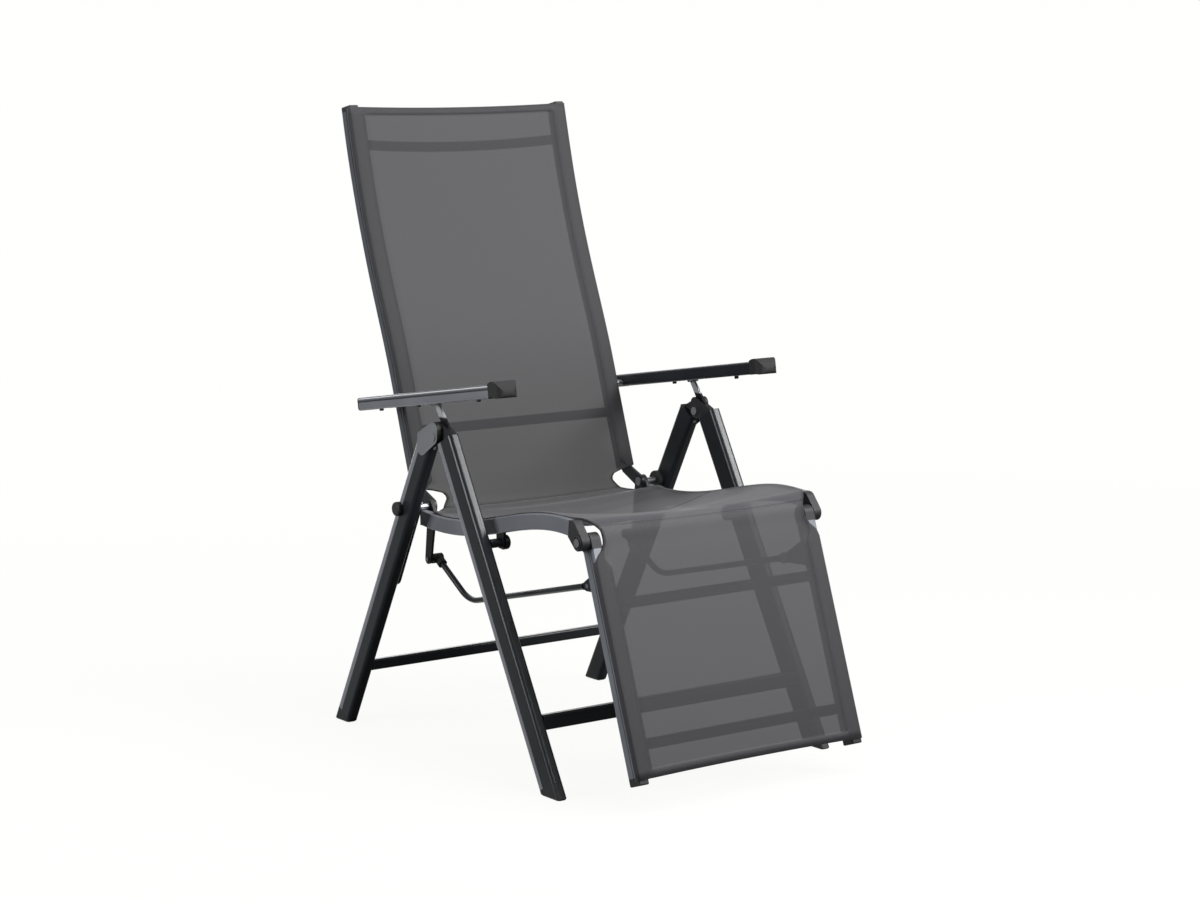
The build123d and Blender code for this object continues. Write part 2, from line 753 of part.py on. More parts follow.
def make_rods():
    path = FilletPolyline(
        *[place(rod_centre_x, point) for point in (crank_tip, rod_bend, rod_front)],
        radius=rod_bend_radius,
    )
    back_along = unit(rod_bend, rod_front)
    eye_start = ahead(rod_front, back_along, -rod_eye_length)
    section = Plane(origin=path @ 0, z_dir=path % 0) * Circle(rod_radius)
    rod = sweep(section, path=path)
    cut_reach = rod_radius + overrun
    rod -= pin(rod_front, 2 * rod_eye_radius, rod_centre_x - cut_reach, rod_centre_x + cut_reach)
    eye_inner_x = sling_rail_inner_x - plate_thickness - side_gap - rod_eye_thickness
    eye_outer_x = eye_inner_x + rod_eye_thickness
    rod += layer(hull(disc(rod_front, rod_eye_radius), disc(eye_start, rod_radius)), eye_inner_x, eye_outer_x)
    rod -= pin(rod_front, pin_radius + fit_gap, rod_centre_x - 2 * rod_eye_radius, sling_rail_outer_x)
    keep_sides("rod", rod)

    clip = pin(crank_tip, rod_eye_radius, rod_centre_x - rod_radius - tube_wall, rod_clip_outer_x)
    first_along = unit(crank_tip, rod_bend)
    sleeve_plane = Plane(origin=place(rod_centre_x, crank_tip), z_dir=(0, *first_along))
    clip += extrude(sleeve_plane * Circle(rod_radius + 2 * tube_wall), amount=2 * rod_eye_radius)
    keep("rod_clips", *pair(clip - rod))

    pin_end_x = sling_rail_inner_x - side_gap
    eye_pin = pin(rod_front, pin_radius, eye_inner_x - side_gap, pin_end_x)
    eye_pin += pin(
        rod_front, rod_pin_head_radius, eye_inner_x - side_gap - rod_pin_head_height, eye_inner_x - side_gap
    )
    keep("rod_pins", *pair(eye_pin))


def arm_plane(along, lift=0):
    origin = ahead(arm_middle, arm_forward, along, -lift)
    return Plane(origin=place(armrest_centre_x, origin), x_dir=(1, 0, 0), z_dir=(0, *arm_forward))


def make_armrests():
    # Inverted channel with a stepped groove along its top
    outer = RectangleRounded(armrest_width, arm_height, arm_corner)
    inner_width = armrest_width - 2 * arm_wall
    inner_height = arm_height - arm_wall
    slot = Pos(0, -arm_wall) * Rectangle(inner_width, arm_height)
    section = outer - slot
    for groove_x in (arm_groove_inset - armrest_width / 2, armrest_width / 2 - arm_groove_inset):
        section -= Pos(groove_x, arm_height / 2) * Rectangle(arm_groove_width, 2 * arm_groove_depth)
    side = 1 if arm_plane(0).y_dir.Z > 0 else -1
    if side < 0:
        section = mirror(section, about=Plane.XZ)
    rail = extrude(arm_plane(-arm_tail) * section, amount=arm_tail + arm_rail_reach)
    inner_wall_x = armrest_centre_x - armrest_width / 2
    rail -= pin(arm_pivot, pin_radius + fit_gap, inner_wall_x - overrun, armrest_centre_x)
    keep_sides("armrest_rail", rail)

    # Rounded plastic tip that droops at its end
    half = arm_height / 2
    start = ahead(arm_middle, arm_forward, arm_rail_reach)
    tip_outline_shares = (
        (0, 1.1),
        (0.3, 1.35),
        (0.6, 1.3),
        (0.88, 0.6),
        (1, -0.3),
        (0.93, -1),
        (0.6, -1),
        (0, -1),
    )
    outline_places = [(arm_tip_length * along, half * up) for along, up in tip_outline_shares]
    points = [ahead(start, arm_forward, along, -up) for along, up in outline_places]
    tip_side = make_face([Spline(points), Line(points[-1], points[0])])
    tip = slab(tip_side, armrest_centre_x, armrest_width)
    plan_corner = armrest_width / 3
    plan = arm_plane(arm_rail_reach - plan_corner)
    plan_face = Plane(
        origin=place(armrest_centre_x, ahead(start, arm_forward, arm_tip_length / 2 - plan_corner)),
        x_dir=(1, 0, 0),
        z_dir=plan.y_dir,
    ) * RectangleRounded(armrest_width, arm_tip_length + 2 * plan_corner, plan_corner)
    tip &= extrude(plan_face, amount=2 * arm_height, both=True)
    tongue = Rectangle(inner_width - 2 * plug_gap, inner_height - 2 * plug_gap - arm_wall)
    tongue_lift = side * (half - arm_wall - plug_gap - (inner_height - 2 * plug_gap - arm_wall) / 2)
    tip += extrude(arm_plane(arm_rail_reach - plug_depth) * Pos(0, tongue_lift) * tongue, amount=plug_depth)
    keep_sides("armrest_tip", tip)

    # Plug in the rear end
    cap = extrude(arm_plane(-arm_tail - arm_wall) * outer, amount=arm_wall)
    cap += extrude(arm_plane(-arm_tail) * Pos(0, tongue_lift) * tongue, amount=plug_depth / 2)
    keep("armrest_end_caps", *pair(cap))

    # Toothed rack under the top wall, clear of the lock pin
    tooth_low = lock_pin_radius + rack_clearance - lock_pin_drop
    rack_room = arm_rail_reach - plug_depth - lock_pin_along
    rack_teeth = int(rack_room / rack_pitch) - rack_spare_pitches
    rack_high = half - arm_wall
    teeth = []
    for tooth in range(rack_teeth + 1):
        along = lock_pin_along + (tooth - 1 / 2) * rack_pitch
        teeth += [
            (along - rack_pitch / 4, tooth_low + rack_tooth_depth),
            (along - rack_pitch / 8, tooth_low),
            (along + rack_pitch / 8, tooth_low),
            (along + rack_pitch / 4, tooth_low + rack_tooth_depth),
        ]
    rack_points = [(teeth[0][0], rack_high), *teeth, (teeth[-1][0], rack_high)]
    rack_outline = make_face(
        Polyline(*[ahead(arm_middle, arm_forward, along, -up) for along, up in rack_points], close=True)
    )
    keep("armrest_racks", *pair(slab(rack_outline, armrest_centre_x, inner_width)))

    # Bolts that carry the armrests on the back rails
    bolt = pin(arm_pivot, pin_radius, sling_rail_inner_x - side_gap, inner_wall_x + arm_wall + side_gap)
    bolt += pin(
        arm_pivot,
        rivet_head_radius,
        sling_rail_inner_x - side_gap - rivet_head_height,
        sling_rail_inner_x - side_gap,
    )
    spacer_inner_x = sling_rail_outer_x + hem_fabric + side_gap
    bolt += pin(arm_pivot, rivet_head_radius - side_gap, spacer_inner_x, inner_wall_x - side_gap)
    bolt += pin(
        arm_pivot,
        pin_radius + tube_wall,
        inner_wall_x + arm_wall + side_gap,
        inner_wall_x + arm_wall + side_gap + rivet_head_height,
    )
    keep("armrest_bolts", *pair(bolt))


make_legs()
make_leg_fittings()
make_seat()
make_back()
make_footrest()
make_seat_sling()
make_rods()
make_armrests()

os.makedirs("parts", exist_ok=True)
for name, shape in parts.items():
    export_step(shape, "parts/" + name + ".step")

print("nodes", len(parts))
for name, spot in (
    ("leg_pivot", leg_pivot),
    ("seat_pivot", seat_pivot),
    ("back_pivot", back_pivot),
    ("knee_pivot", knee_pivot),
    ("link_foot", link_foot),
    ("arm_pivot", arm_pivot),
    ("rod_front", rod_front),
    ("crank_tip", crank_tip),
):
    print(name, *(round(value, 3) for value in place(0, spot)))
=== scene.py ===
import bpy
import bmesh
import json
import math
import numpy as np
from mathutils import Matrix, Vector


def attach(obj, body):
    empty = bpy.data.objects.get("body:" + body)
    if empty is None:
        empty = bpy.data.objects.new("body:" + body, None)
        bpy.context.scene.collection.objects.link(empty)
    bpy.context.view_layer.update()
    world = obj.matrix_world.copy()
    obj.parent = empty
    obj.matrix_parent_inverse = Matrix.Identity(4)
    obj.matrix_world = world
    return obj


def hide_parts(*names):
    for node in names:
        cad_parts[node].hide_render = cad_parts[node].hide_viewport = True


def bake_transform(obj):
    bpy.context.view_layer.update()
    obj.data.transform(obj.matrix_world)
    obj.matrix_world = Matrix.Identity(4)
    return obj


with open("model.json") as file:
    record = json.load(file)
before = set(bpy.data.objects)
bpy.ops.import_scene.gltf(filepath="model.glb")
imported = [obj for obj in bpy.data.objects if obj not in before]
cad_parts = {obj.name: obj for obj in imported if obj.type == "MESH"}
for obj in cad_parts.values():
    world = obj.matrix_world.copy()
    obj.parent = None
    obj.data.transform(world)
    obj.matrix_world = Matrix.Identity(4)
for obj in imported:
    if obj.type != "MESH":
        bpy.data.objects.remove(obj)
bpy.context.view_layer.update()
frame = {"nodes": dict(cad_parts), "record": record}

nodes = frame["nodes"]
mm = 0.001
apexY = 63.369  # how far the side view's y starts behind the frame's origin, in mm
print("frame loaded:", len(nodes), "nodes")


def sidePoint(point, x=0):
    # A side-view point in mm, at a distance across, as a place in the frame
    return (x * mm, (point[0] + apexY) * mm, point[1] * mm)


def deselect():
    bpy.ops.object.select_all(action="DESELECT")


# Camera, floor and light
camera = {
    "place": (-2888.5, -4086.3 + apexY, 1254.6),
    "yaw": 0.62496,
    "pitch": -0.14432,
    "roll": -0.00425,
    "lens": 83.197,
    "sensorWidth": 36,
}
studio = {
    "floorSize": 60,
    "floorColour": (0.8, 0.8, 0.79, 1),
    "floorRough": 0.9,
    "unseenFloor": (0.12, 0.12, 0.12, 1),
    "backdrop": (1, 1, 0.985, 1),
    "worldColour": (0.9, 0.93, 1, 1),
    "worldLight": 0.16,
    "floorGlow": (0.93, 1),
    "glowRadii": (1, 3.5),
    "mirrorCard": {"leftEdge": (-0.5, -0.2), "nearEdge": (0.3, 0.6)},
    "lamps": [
        # name, place, target, size, power
        ("frontSoft", (0.9, -3.6, 1.7), (0, 0, 0.6), 2.2, 84),
        ("topSoft", (0.2, -0.4, 3.2), (0, 0, 0.5), 1.8, 62),
        ("keySoft", (2.1, -1.9, 2.5), (0, 0, 0.5), 1.2, 75),
        ("leftSoft", (-3, 0.5, 1.4), (0, 0, 0.5), 1.6, 60),
        ("rearWall", (0.9, 3.2, 0.7), (0, 0, 0.6), 2.4, 34),
    ],
}


def lookMatrix(spec):
    yaw, pitch, roll = spec["yaw"], spec["pitch"], spec["roll"]
    forward = Vector((math.sin(yaw) * math.cos(pitch), math.cos(yaw) * math.cos(pitch), math.sin(pitch)))
    side = forward.cross(Vector((0, 0, 1))).normalized()
    up = side.cross(forward)
    sideTurned = side * math.cos(roll) + up * math.sin(roll)
    upTurned = up * math.cos(roll) - side * math.sin(roll)
    turn = Matrix((sideTurned, upTurned, -forward)).transposed().to_4x4()
    return Matrix.Translation(Vector(spec["place"]) * mm) @ turn


def joinValues(tree, operation, first, second):
    joined = tree.nodes.new("ShaderNodeMath")
    joined.operation = operation
    tree.links.new(first, joined.inputs[0])
    tree.links.new(second, joined.inputs[1])
    return joined.outputs[0]


def mapValue(tree, value, source=(0, 1), target=(0, 1)):
    mapped = tree.nodes.new("ShaderNodeMapRange")
    mapped.inputs["From Min"].default_value, mapped.inputs["From Max"].default_value = source
    mapped.inputs["To Min"].default_value, mapped.inputs["To Max"].default_value = target
    tree.links.new(value, mapped.inputs["Value"])
    return mapped.outputs["Result"]


def mixShaders(tree, share, low, high):
    mixed = tree.nodes.new("ShaderNodeMixShader")
    for source, socket in zip((share, low, high), mixed.inputs):
        tree.links.new(source, socket)
    return mixed.outputs[0]


def mirrorShare(tree):
    # One where a glossy ray runs to the bright ground and wall behind the chair, else zero
    card = studio["mirrorCard"]
    rays = tree.nodes.new("ShaderNodeLightPath")
    view = tree.nodes.new("ShaderNodeNewGeometry")
    parts = tree.nodes.new("ShaderNodeSeparateXYZ")
    tree.links.new(view.outputs["Incoming"], parts.inputs[0])
    share = rays.outputs["Is Glossy Ray"]
    for axis, edge in (("X", card["leftEdge"]), ("Y", card["nearEdge"])):
        inside = mapValue(tree, parts.outputs[axis], source=(-edge[0], -edge[1]))
        share = joinValues(tree, "MULTIPLY", share, inside)
    return share


def plainMaterial(name, colour, rough):
    made = bpy.data.materials.new(name)
    made.use_nodes = True
    shader = made.node_tree.nodes["Principled BSDF"]
    shader.inputs["Base Color"].default_value = colour
    shader.inputs["Roughness"].default_value = rough
    return made


def floorMaterial():
    # The camera sees an even pale tone with a faint shadow near the chair, and other rays a dark floor
    made = plainMaterial("paleFloor", studio["floorColour"], studio["floorRough"])
    tree = made.node_tree
    shader = tree.nodes["Principled BSDF"]
    glow = tree.nodes.new("ShaderNodeEmission")
    glow.inputs["Color"].default_value = studio["backdrop"]
    unseen = tree.nodes.new("ShaderNodeBsdfDiffuse")
    unseen.inputs["Color"].default_value = studio["unseenFloor"]
    place = tree.nodes.new("ShaderNodeTexCoord")
    reach = tree.nodes.new("ShaderNodeVectorMath")
    reach.operation = "LENGTH"
    tree.links.new(place.outputs["Object"], reach.inputs[0])
    share = mapValue(tree, reach.outputs["Value"], source=studio["glowRadii"], target=studio["floorGlow"])
    seen = mixShaders(tree, share, shader.outputs[0], glow.outputs[0])
    rays = tree.nodes.new("ShaderNodeLightPath")
    pick = mixShaders(tree, rays.outputs["Is Camera Ray"], unseen.outputs[0], seen)
    mirrored = mixShaders(tree, mirrorShare(tree), pick, glow.outputs[0])
    tree.links.new(mirrored, tree.nodes["Material Output"].inputs["Surface"])
    return made


def makeStudio():
    scene = bpy.context.scene
    scene.view_settings.view_transform = "Standard"
    lens = bpy.data.cameras.new("photoCamera")
    lens.lens = camera["lens"]
    lens.sensor_width = camera["sensorWidth"]
    holder = bpy.data.objects.new("photoCamera", lens)
    scene.collection.objects.link(holder)
    holder.matrix_world = lookMatrix(camera)
    scene.camera = holder

    world = bpy.data.worlds.new("studio")
    world.use_nodes = True
    scene.world = world
    tree = world.node_tree
    tree.nodes.clear()
    out = tree.nodes.new("ShaderNodeOutputWorld")
    plain = tree.nodes.new("ShaderNodeBackground")
    plain.inputs["Color"].default_value = studio["worldColour"]
    plain.inputs["Strength"].default_value = studio["worldLight"]
    seen = tree.nodes.new("ShaderNodeBackground")
    seen.inputs["Color"].default_value = studio["backdrop"]
    rays = tree.nodes.new("ShaderNodeLightPath")
    share = joinValues(tree, "MAXIMUM", rays.outputs["Is Camera Ray"], rays.outputs["Is Transmission Ray"])
    share = joinValues(tree, "MAXIMUM", share, mirrorShare(tree))
    tree.links.new(mixShaders(tree, share, plain.outputs[0], seen.outputs[0]), out.inputs["Surface"])

    for name, place, target, size, power in studio["lamps"]:
        lamp = bpy.data.lights.new(name, "AREA")
        lamp.shape = "DISK"
        lamp.size = size
        lamp.energy = power
        body = bpy.data.objects.new(name, lamp)
        scene.collection.objects.link(body)
        body.visible_camera = False
        body.location = place
        body.rotation_euler = (Vector(place) - Vector(target)).to_track_quat("Z", "Y").to_euler()

    deselect()
    bpy.ops.mesh.primitive_plane_add(size=studio["floorSize"], location=(0, 0, 0))
    floor = bpy.context.object
    floor.name = "studioFloor"
    floor.data.materials.append(floorMaterial())
    print("studio made")


# Looks of the surfaces
finishes = {
    "legCoat": {"colour": (0.012, 0.014, 0.018), "rough": 0.34, "metal": 0, "grain": 900, "bump": 0.05},
    # The next two are the frame's anthracite paint made lighter in colour: painted light for rails that
    # catch more light than the legs
    "railCoatWithPaintedLight": {"colour": (0.085, 0.09, 0.105), "rough": 0.38, "metal": 0.3, "grain": 900, "bump": 0.05},
    "seatRailCoatWithPaintedLight": {"colour": (0.19, 0.2, 0.225), "rough": 0.38, "metal": 0.3, "grain": 900, "bump": 0.05},
    "blackPlastic": {"colour": (0.01, 0.01, 0.012), "rough": 0.55, "metal": 0, "grain": 1400, "bump": 0.08},
    # Black plastic made darker still: painted shade for the armrest tip, which the front light makes too
    # bright
    "tipPlasticWithPaintedShade": {"colour": (0.004, 0.004, 0.005), "rough": 0.7, "metal": 0, "grain": 1400, "bump": 0.08},
    "greyPlastic": {"colour": (0.16, 0.165, 0.175), "rough": 0.5, "metal": 0, "grain": 1200, "bump": 0.06},
    "satinAluminium": {
        "colour": (0.2, 0.205, 0.23), "rough": 0.42, "metal": 0.35, "grain": 700, "bump": 0.03,
    },
    "brightSteel": {"colour": (0.5, 0.5, 0.52), "rough": 0.3, "metal": 1, "grain": 500, "bump": 0.03},
    "strutMetal": {"colour": (0.62, 0.63, 0.64), "rough": 0.42, "metal": 0.8, "grain": 500, "bump": 0.03},
}
wear = {
    "scale": 9,
    "detail": 4,
    "dark": (0.3, 0.88),  # level of the noise, share of the colour
    "light": (0.7, 1.1),
    "roughDrift": (-0.05, 0.06),
    "grainDetail": 2,
    "grainHeight": 0.0004,
}
weave = {
    "sheet": (0.046, 0.0452, 0.0515),
    "hem": (0.031, 0.0305, 0.035),
    "binding": (0.012, 0.012, 0.014),
    "bindingWidth": 6,
    "cover": 0.776,
    "rough": 0.62,
    "sheen": 0.12,
    "sheenRough": 0.5,
    "specular": 0.35,
    "pitch": 0.0016,
    "mottleScale": 260,
    "mottleDetail": 3,
    "yarnShare": 0.55,
    "dark": (0.25, 0.8),
    "light": (0.95, 1.18),
    "bump": 0.25,
    "yarnHeight": 0.0003,
}


def noiseValue(tree, place, scale, detail):
    noise = tree.nodes.new("ShaderNodeTexNoise")
    noise.inputs["Scale"].default_value = scale
    noise.inputs["Detail"].default_value = detail
    tree.links.new(place, noise.inputs["Vector"])
    return noise.outputs["Fac"]


def shadeColour(tree, value, colour, dark, light):
    # The colour's dark share at one level of the value, and its light share at the other
    ramp = tree.nodes.new("ShaderNodeValToRGB")
    for stop, (level, share) in zip(ramp.color_ramp.elements, (dark, light)):
        stop.position = level
        stop.color = (*(channel * share for channel in colour), 1)
    tree.links.new(value, ramp.inputs["Fac"])
    return ramp.outputs["Color"]


def raiseSurface(tree, height, strength, distance):
    bump = tree.nodes.new("ShaderNodeBump")
    bump.inputs["Strength"].default_value = strength
    bump.inputs["Distance"].default_value = distance
    tree.links.new(height, bump.inputs["Height"])
    tree.links.new(bump.outputs["Normal"], tree.nodes["Principled BSDF"].inputs["Normal"])


def solidFinish(name):
    # Colour and roughness drift a little over the piece, and a fine grain lifts the surface
    spec = finishes[name]
    made = plainMaterial(name, (*spec["colour"], 1), spec["rough"])
    tree = made.node_tree
    shader = tree.nodes["Principled BSDF"]
    shader.inputs["Metallic"].default_value = spec["metal"]
    place = tree.nodes.new("ShaderNodeTexCoord").outputs["Object"]
    drift = noiseValue(tree, place, wear["scale"], wear["detail"])
    shades = shadeColour(tree, drift, spec["colour"], wear["dark"], wear["light"])
    tree.links.new(shades, shader.inputs["Base Color"])
    roughness = [spec["rough"] + change for change in wear["roughDrift"]]
    tree.links.new(mapValue(tree, drift, target=roughness), shader.inputs["Roughness"])
    grain = noiseValue(tree, place, spec["grain"], wear["grainDetail"])
    raiseSurface(tree, grain, spec["bump"], wear["grainHeight"])
    return made


def bandedFinish(name, spec):
    # A finish with bands of other tones across the side view, most of them painted highlights and painted
    # shade
    made = solidFinish(spec["base"])
    made.name = name
    tree = made.node_tree
    shader = tree.nodes["Principled BSDF"]
    direction, origin = Vector(spec["direction"]), Vector(spec["origin"])
    first, last = spec["stops"][0][0], spec["stops"][-1][0]
    start = (origin + Vector((apexY, 0))).dot(direction)
    place = tree.nodes.new("ShaderNodeTexCoord")
    across = tree.nodes.new("ShaderNodeVectorMath")
    across.operation = "DOT_PRODUCT"
    across.inputs[1].default_value = (0, *direction)
    tree.links.new(place.outputs["Object"], across.inputs[0])
    edges = ((start + first) * mm, (start + last) * mm)
    share = mapValue(tree, across.outputs["Value"], source=edges)
    ramp = tree.nodes.new("ShaderNodeValToRGB")
    stops = ramp.color_ramp.elements
    while len(stops) < len(spec["stops"]):
        stops.new(0.5)
    for stop, (offset, toneAndPaintedLight, cover) in zip(stops, spec["stops"]):
        stop.position = (offset - first) / (last - first)
        stop.color = (*paintedLightAndFootTones[toneAndPaintedLight], cover)
    tree.links.new(share, ramp.inputs["Fac"])
    mix = tree.nodes.new("ShaderNodeMix")
    mix.data_type = "RGBA"
    factor, low, high = mix.inputs[0], mix.inputs[6], mix.inputs[7]  # the sockets for colours
    tree.links.new(ramp.outputs["Alpha"], factor)
    tree.links.new(shader.inputs["Base Color"].links[0].from_socket, low)
    tree.links.new(ramp.outputs["Color"], high)
    tree.links.new(mix.outputs[2], shader.inputs["Base Color"])
    return made


def wovenFinish(name, colour, alpha):
    # Basket weave of coated yarn on the sheet's own UV map, which is in metres
    made = plainMaterial(name, (*colour, 1), weave["rough"])
    tree = made.node_tree
    shader = tree.nodes["Principled BSDF"]
    shader.inputs["Alpha"].default_value = alpha
    shader.inputs["Sheen Weight"].default_value = weave["sheen"]
    shader.inputs["Sheen Roughness"].default_value = weave["sheenRough"]
    shader.inputs["Specular IOR Level"].default_value = weave["specular"]
    place = tree.nodes.new("ShaderNodeUVMap")
    place.uv_map = "cloth"
    waves = []
    for direction in ("X", "Y"):
        wave = tree.nodes.new("ShaderNodeTexWave")
        wave.wave_type = "BANDS"
        wave.bands_direction = direction
        wave.wave_profile = "SIN"
        # A band's period is a twentieth of 2 pi over the scale
        wave.inputs["Scale"].default_value = 2 * math.pi / 20 / weave["pitch"]
        wave.inputs["Distortion"].default_value = 0
        tree.links.new(place.outputs["UV"], wave.inputs["Vector"])
        waves.append(wave.outputs["Fac"])
    yarn = joinValues(tree, "MULTIPLY", *waves)

    mottle = noiseValue(tree, place.outputs["UV"], weave["mottleScale"], weave["mottleDetail"])
    level = tree.nodes.new("ShaderNodeMath")
    level.operation = "MULTIPLY_ADD"
    level.inputs[1].default_value = weave["yarnShare"]
    tree.links.new(yarn, level.inputs[0])
    tree.links.new(mottle, level.inputs[2])
    shades = shadeColour(tree, level.outputs[0], colour, weave["dark"], weave["light"])
    # The colour is scaled by the painted light that the cloth's vertices carry: a highlight over the knees
    # and shade in the crease
    toneAndPaintedLight = tree.nodes.new("ShaderNodeAttribute")
    toneAndPaintedLight.attribute_name = "toneAndPaintedLight"
    paintedLightShades = tree.nodes.new("ShaderNodeVectorMath")
    paintedLightShades.operation = "SCALE"
    tree.links.new(shades, paintedLightShades.inputs[0])
    tree.links.new(toneAndPaintedLight.outputs["Fac"], paintedLightShades.inputs["Scale"])
    tree.links.new(paintedLightShades.outputs["Vector"], shader.inputs["Base Color"])
    raiseSurface(tree, yarn, weave["bump"], weave["yarnHeight"])
    return made


# Bands on finishes: painted highlights along the legs' rear bevels, the struts' dark feet, and on the
# armrests painted shade in a groove and a painted highlight on a rib.
# A stop is its distance from the origin along the direction, its tone and how much of the tone shows.
paintedLightAndFootTones = {
    # A painted highlight where a rounded corner catches light from behind
    "paintedBevelHighlight": (0.2, 0.205, 0.23),
    "foot": (0.012, 0.012, 0.014),
    # Painted shadow in the armrest's groove and painted shade on its wall, a painted highlight on the rib
    # and painted shade along its top edge
    "paintedGrooveShadow": (0.015, 0.016, 0.02),
    "paintedGrooveWallShade": (0.06, 0.062, 0.07),
    "paintedRibHighlight": (0.75, 0.76, 0.78),
    "paintedRibEdgeShade": (0.02, 0.021, 0.025),
}
legApex = (0, 627)
bands = {
    # A painted highlight strip along each leg's rear corner, on its outer face
    "frontLegPaintedHighlight": {
        "base": "legCoat", "direction": (0.875, -0.485), "origin": legApex,
        "stops": [(8, "paintedBevelHighlight", 0), (10, "paintedBevelHighlight", 1)],
    },
    "rearLegPaintedHighlight": {
        "base": "legCoat", "direction": (0.879, 0.476), "origin": legApex,
        "stops": [(6, "paintedBevelHighlight", 0), (8, "paintedBevelHighlight", 1)],
    },
    "strutSide": {
        "base": "strutMetal", "direction": (0, 1), "origin": legApex,
        "stops": [(-17, "foot", 1), (-14, "foot", 0)],
    },
    # The armrest's outer face: a painted groove shadow, then painted shading up to a painted highlight on
    # the rib
    "armSidePaintedLight": {
        "base": "satinAluminium", "direction": (0.1495, 0.9888), "origin": (210.5, 615.9),
        "stops": [
            (2.6, "paintedGrooveShadow", 0), (3, "paintedGrooveShadow", 1), (4.2, "paintedGrooveShadow", 1), (5, "paintedGrooveWallShade", 1),
            (8.2, "paintedBevelHighlight", 1), (9, "paintedRibHighlight", 1), (9.8, "paintedRibHighlight", 1), (10.2, "paintedRibEdgeShade", 1),
        ],
    },
}
slotFinish = {
    "anthracite_frame": "legCoat",
    "black_plastic": "blackPlastic",
    "grey_plastic": "greyPlastic",
    "light_aluminium": "satinAluminium",
    "steel_fittings": "brightSteel",
    "sling_fabric": "blackPlastic",
}
# Nodes that differ from their slot's finish
ownFinish = {
    "lock_strut": "strutSide",
    "armrest_tip": "tipPlasticWithPaintedShade",
    "back_rail": "railCoatWithPaintedLight",
    "seat_rail": "seatRailCoatWithPaintedLight",
    "footrest_rail": "seatRailCoatWithPaintedLight",
    "rear_leg_caps": "blackPlastic",
    "leg_hinge_pins": "greyPlastic",
}
# Other finishes on the faces between two distances across, facing out (1) or in (-1)
faceTones = [
    ("armrest_rail", "legCoat", 255, 270, -1),
    ("armrest_rail", "armSidePaintedLight", 300, 309, 1),
    ("front_leg_left", "frontLegPaintedHighlight", 279, 302, 1),
    ("front_leg_right", "frontLegPaintedHighlight", 279, 302, 1),
    ("rear_leg_left", "rearLegPaintedHighlight", 279, 302, 1),
    ("rear_leg_right", "rearLegPaintedHighlight", 279, 302, 1),
    ("rear_leg_caps", "greyPlastic", 301.5, 305, 1),
]


def dressNodes():
    # Every CAD node gets its slot's finish or its own, and some of its faces another
    made = {name: solidFinish(name) for name in finishes}
    made.update({name: bandedFinish(name, spec) for name, spec in bands.items()})
    slotOf = {entry["node"]: entry["material_slot"] for entry in frame["record"]["subparts"]}
    for name, node in nodes.items():
        finish = slotFinish[slotOf[name]]
        for start, other in ownFinish.items():
            if name.startswith(start):
                finish = other
        node.data.materials.clear()
        node.data.materials.append(made[finish])
        for start, other, low, high, facing in faceTones:
            if name.startswith(start):
                node.data.materials.append(made[other])
                for face in node.data.polygons:
                    outward = math.copysign(1, face.center.x) * face.normal.x
                    if low <= abs(face.center.x) / mm <= high and outward * facing > 0.5:
                        face.material_index = len(node.data.materials) - 1
    print("nodes dressed")
    return made


# The sling's rails in the side view, in mm: a start, a reach, and the shares of it at each mark
footrest = {"knee": (-377, 437.5), "lean": 19.1, "front": 16.1}
backRail = {
    "start": (158, 455),
    "reach": (225, 683),
    "shares": ((0, 0), (0.212, 0.21), (0.345, 0.34), (0.6, 0.555), (0.828, 0.776), (1, 1)),
}
seatRail = {
    "start": (112, 410),
    "reach": (-463, 50),
    "shares": ((1, 0.98), (0.86, 1), (0.69, 0.78), (0.47, 0.34), (0.28, 0.06), (0.14, 0), (0, 0.08)),
}
# How the cloth runs over them, in mm
clothPath = {
    "footMarks": (406, 14, -12),  # distances below the knee: first, limit and step
    "footLast": 6,
    "knee": [(-389.5, 452.5), (-383, 462.3), (-373.5, 470.3), (-361, 474.6)],
    "seatLift": 15,
    "seatSpan": (-346, 70),
    "crease": [(80, 427.8), (92, 424), (105, 420.3), (119, 418.8), (129.5, 424), (136, 437), (140.3, 451)],
    "backLift": 16.2,
    "backFrom": 470,
    "headReach": 1.1,  # past the back rail's end, in the length of its last step
    "seatStep": 4,
    "backStep": 5,
    "clothStep": 3.5,
}


def railLine(rail):
    (y, z), (depth, height) = rail["start"], rail["reach"]
    return [(y + depth * along, z + height * up) for along, up in rail["shares"]]


def lineRun(line):
    # How far along the line each of its points is
    return np.concatenate([[0], np.cumsum(np.linalg.norm(np.diff(line, axis=0), axis=1))])


def lineLeft(line):
    # The direction to the line's left at each of its points
    heading = np.gradient(line, axis=0)
    heading /= np.linalg.norm(heading, axis=1)[:, None]
    return np.stack([-heading[:, 1], heading[:, 0]], 1)


